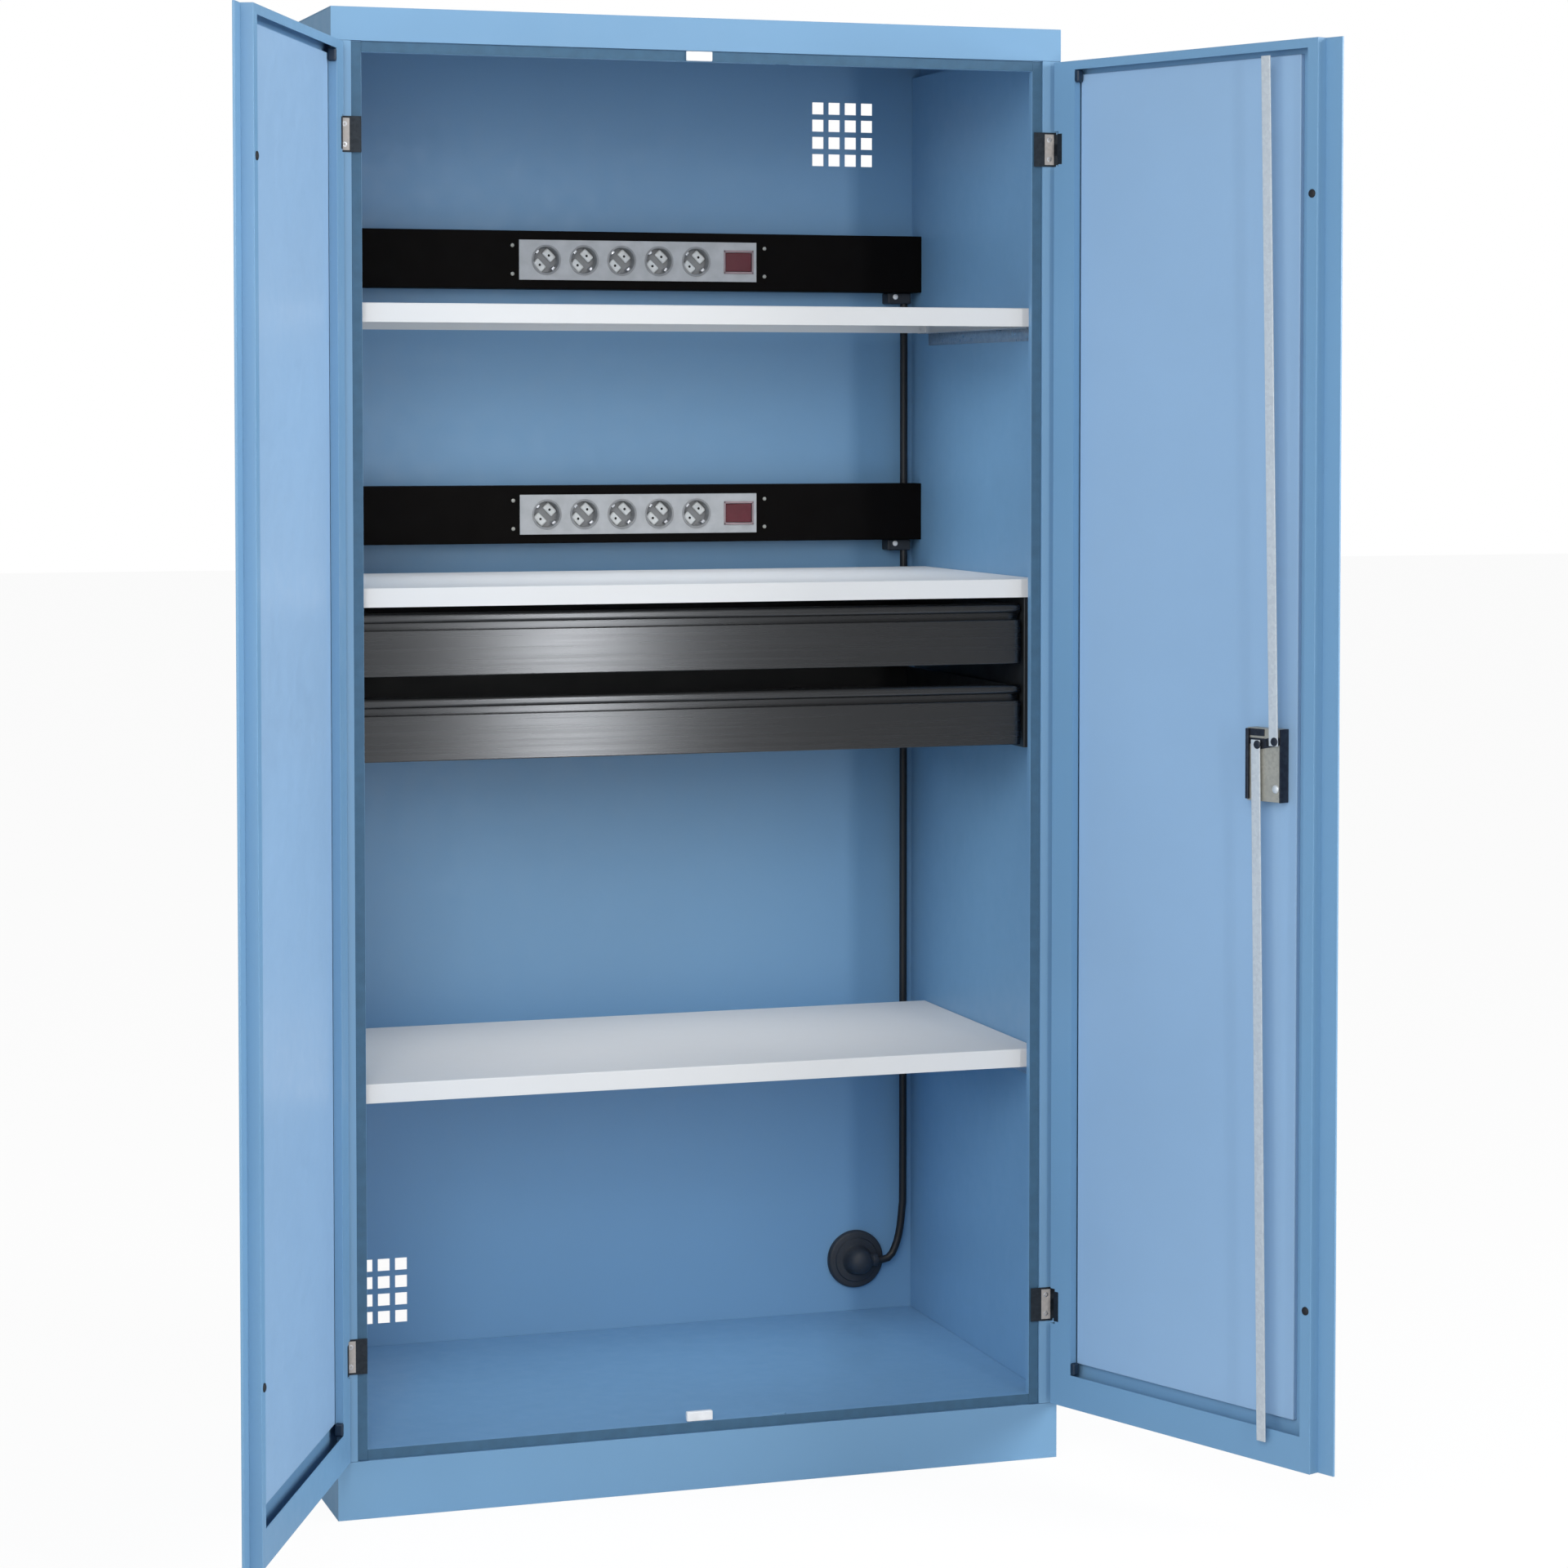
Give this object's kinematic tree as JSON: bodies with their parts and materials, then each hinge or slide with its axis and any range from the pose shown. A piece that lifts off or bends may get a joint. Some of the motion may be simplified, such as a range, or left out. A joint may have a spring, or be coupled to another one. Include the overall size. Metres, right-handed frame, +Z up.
{
  "type": "battery charging cabinet",
  "caption": "Tall steel workshop cabinet for charging batteries, with hinged doors, shelves, drawers and socket strips on its back wall.",
  "frame": {"origin": "on the floor, at the middle of the width, in the plane of the front frame (stiles, fascia, plinth)", "axes": "+Z up, +Y from the front to the back, +X to the right as seen from the front"},
  "size_m": [1.4003, 1.2919, 1.95],
  "materials": {
    "body_blue": "satin powder coat",
    "door_blue": "satin powder coat",
    "shelf_white": "pale grey powder coat",
    "anthracite": "brushed anthracite",
    "black_metal": "satin black",
    "black_plastic": "satin black plastic",
    "grey_plastic": "satin grey plastic",
    "red_plastic": "dark red, translucent look",
    "white_plastic": "satin white",
    "dark_rubber": "matt dark grey",
    "cable_black": "satin black cable sheath",
    "zinc_steel": "zinc plated",
    "lock_steel": "dull yellowish plate"
  },
  "bodies": {
    "carcass": {"back_panel": "body_blue", "cable_clip_lower": "dark_rubber", "cable_clip_upper": "dark_rubber", "cable_outlet": "dark_rubber", "door_stop_bottom": "white_plastic", "door_stop_top": "white_plastic", "drawer_cheek_left": "anthracite", "drawer_cheek_right": "anthracite", "drawer_slide_lower_left": "zinc_steel", "drawer_slide_lower_right": "zinc_steel", "drawer_slide_upper_left": "zinc_steel", "drawer_slide_upper_right": "zinc_steel", "feed_cable": "cable_black", "floor_panel": "body_blue", "frame_hinge_left_bottom": "zinc_steel", "frame_hinge_left_top": "zinc_steel", "frame_hinge_right_bottom": "zinc_steel", "frame_hinge_right_top": "zinc_steel", "left_side_liner": "body_blue", "left_side_panel": "body_blue", "link_cable": "cable_black", "mains_lead": "cable_black", "mains_lead_coil": "cable_black", "mains_plug": "black_plastic", "plinth": "body_blue", "power_channel_lower": "black_metal", "power_channel_upper": "black_metal", "right_side_liner": "body_blue", "right_side_panel": "body_blue", "roof_panel": "body_blue", "shelf_angle_lower_left": "zinc_steel", "shelf_angle_lower_right": "zinc_steel", "shelf_angle_upper_left": "zinc_steel", "shelf_angle_upper_right": "zinc_steel", "shelf_lower": "shelf_white", "shelf_middle": "shelf_white", "shelf_upper": "shelf_white", "socket_strip_lower": "grey_plastic", "socket_strip_upper": "grey_plastic"},
    "left_door": {"left_door_shell": "door_blue", "left_door_liner": "door_blue", "door_hinge_left_top": "zinc_steel", "door_hinge_left_bottom": "zinc_steel"},
    "right_door": {"right_door_shell": "door_blue", "right_door_liner": "door_blue", "door_hinge_right_top": "zinc_steel", "door_hinge_right_bottom": "zinc_steel", "lock_case": "lock_steel", "lock_plate": "black_metal"},
    "handle": {"lock_handle": "black_plastic", "lock_cam": "zinc_steel"},
    "key": {"key_cylinder": "zinc_steel"},
    "upper_rod": {"lock_rod_upper": "zinc_steel"},
    "lower_rod": {"lock_rod_lower": "zinc_steel"},
    "upper_drawer": {"drawer_front_upper": "anthracite", "drawer_tray_upper": "anthracite"},
    "lower_drawer": {"drawer_front_lower": "anthracite", "drawer_tray_lower": "anthracite"},
    "upper_rocker": {"rocker_upper": "red_plastic"},
    "lower_rocker": {"rocker_lower": "red_plastic"}
  },
  "joints": [
    {"name": "left_door_hinge", "type": "hinge", "parent": "carcass", "child": "left_door", "pos_m": [-0.496, -0.01114, 0.975], "axis": [0, 0, -1], "range_deg": [-114.2, 65.8]},
    {"name": "right_door_hinge", "type": "hinge", "parent": "carcass", "child": "right_door", "pos_m": [0.496, -0.01114, 0.975], "axis": [0, 0, 1], "range_deg": [-112.4, 67.6]},
    {"name": "handle_turn", "type": "hinge", "parent": "right_door", "child": "handle", "pos_m": [0.64675, -0.37689, 1.011], "axis": [-0.9245, -0.3811, 0], "range_deg": [0, 90]},
    {"name": "upper_rod_slide", "type": "slide", "parent": "right_door", "child": "upper_rod", "axis": [0, 0, 1], "range_m": [0, 0.022]},
    {"name": "lower_rod_slide", "type": "slide", "parent": "right_door", "child": "lower_rod", "axis": [0, 0, -1], "range_m": [0, 0.022]},
    {"name": "key_turn", "type": "hinge", "parent": "right_door", "child": "key", "pos_m": [0.64675, -0.37689, 0.956], "axis": [-0.9245, -0.3811, 0], "range_deg": [0, 90]},
    {"name": "upper_drawer_slide", "type": "slide", "parent": "carcass", "child": "upper_drawer", "axis": [0, -1, 0], "range_m": [0, 0.35]},
    {"name": "lower_drawer_slide", "type": "slide", "parent": "carcass", "child": "lower_drawer", "axis": [0, -1, 0], "range_m": [0, 0.35]},
    {"name": "upper_rocker_tilt", "type": "hinge", "parent": "carcass", "child": "upper_rocker", "pos_m": [0.2017, 0.5072, 1.6515], "axis": [0, 0, 1], "range_deg": [0, 12]},
    {"name": "lower_rocker_tilt", "type": "hinge", "parent": "carcass", "child": "lower_rocker", "pos_m": [0.2017, 0.5072, 1.28691], "axis": [0, 0, 1], "range_deg": [0, 12]}
  ],
  "couplings": [
    {"joint": "handle_turn", "follows": "upper_rod_slide", "rad_per_m": 71.399},
    {"joint": "lower_rod_slide", "follows": "upper_rod_slide", "ratio": 1}
  ]
}
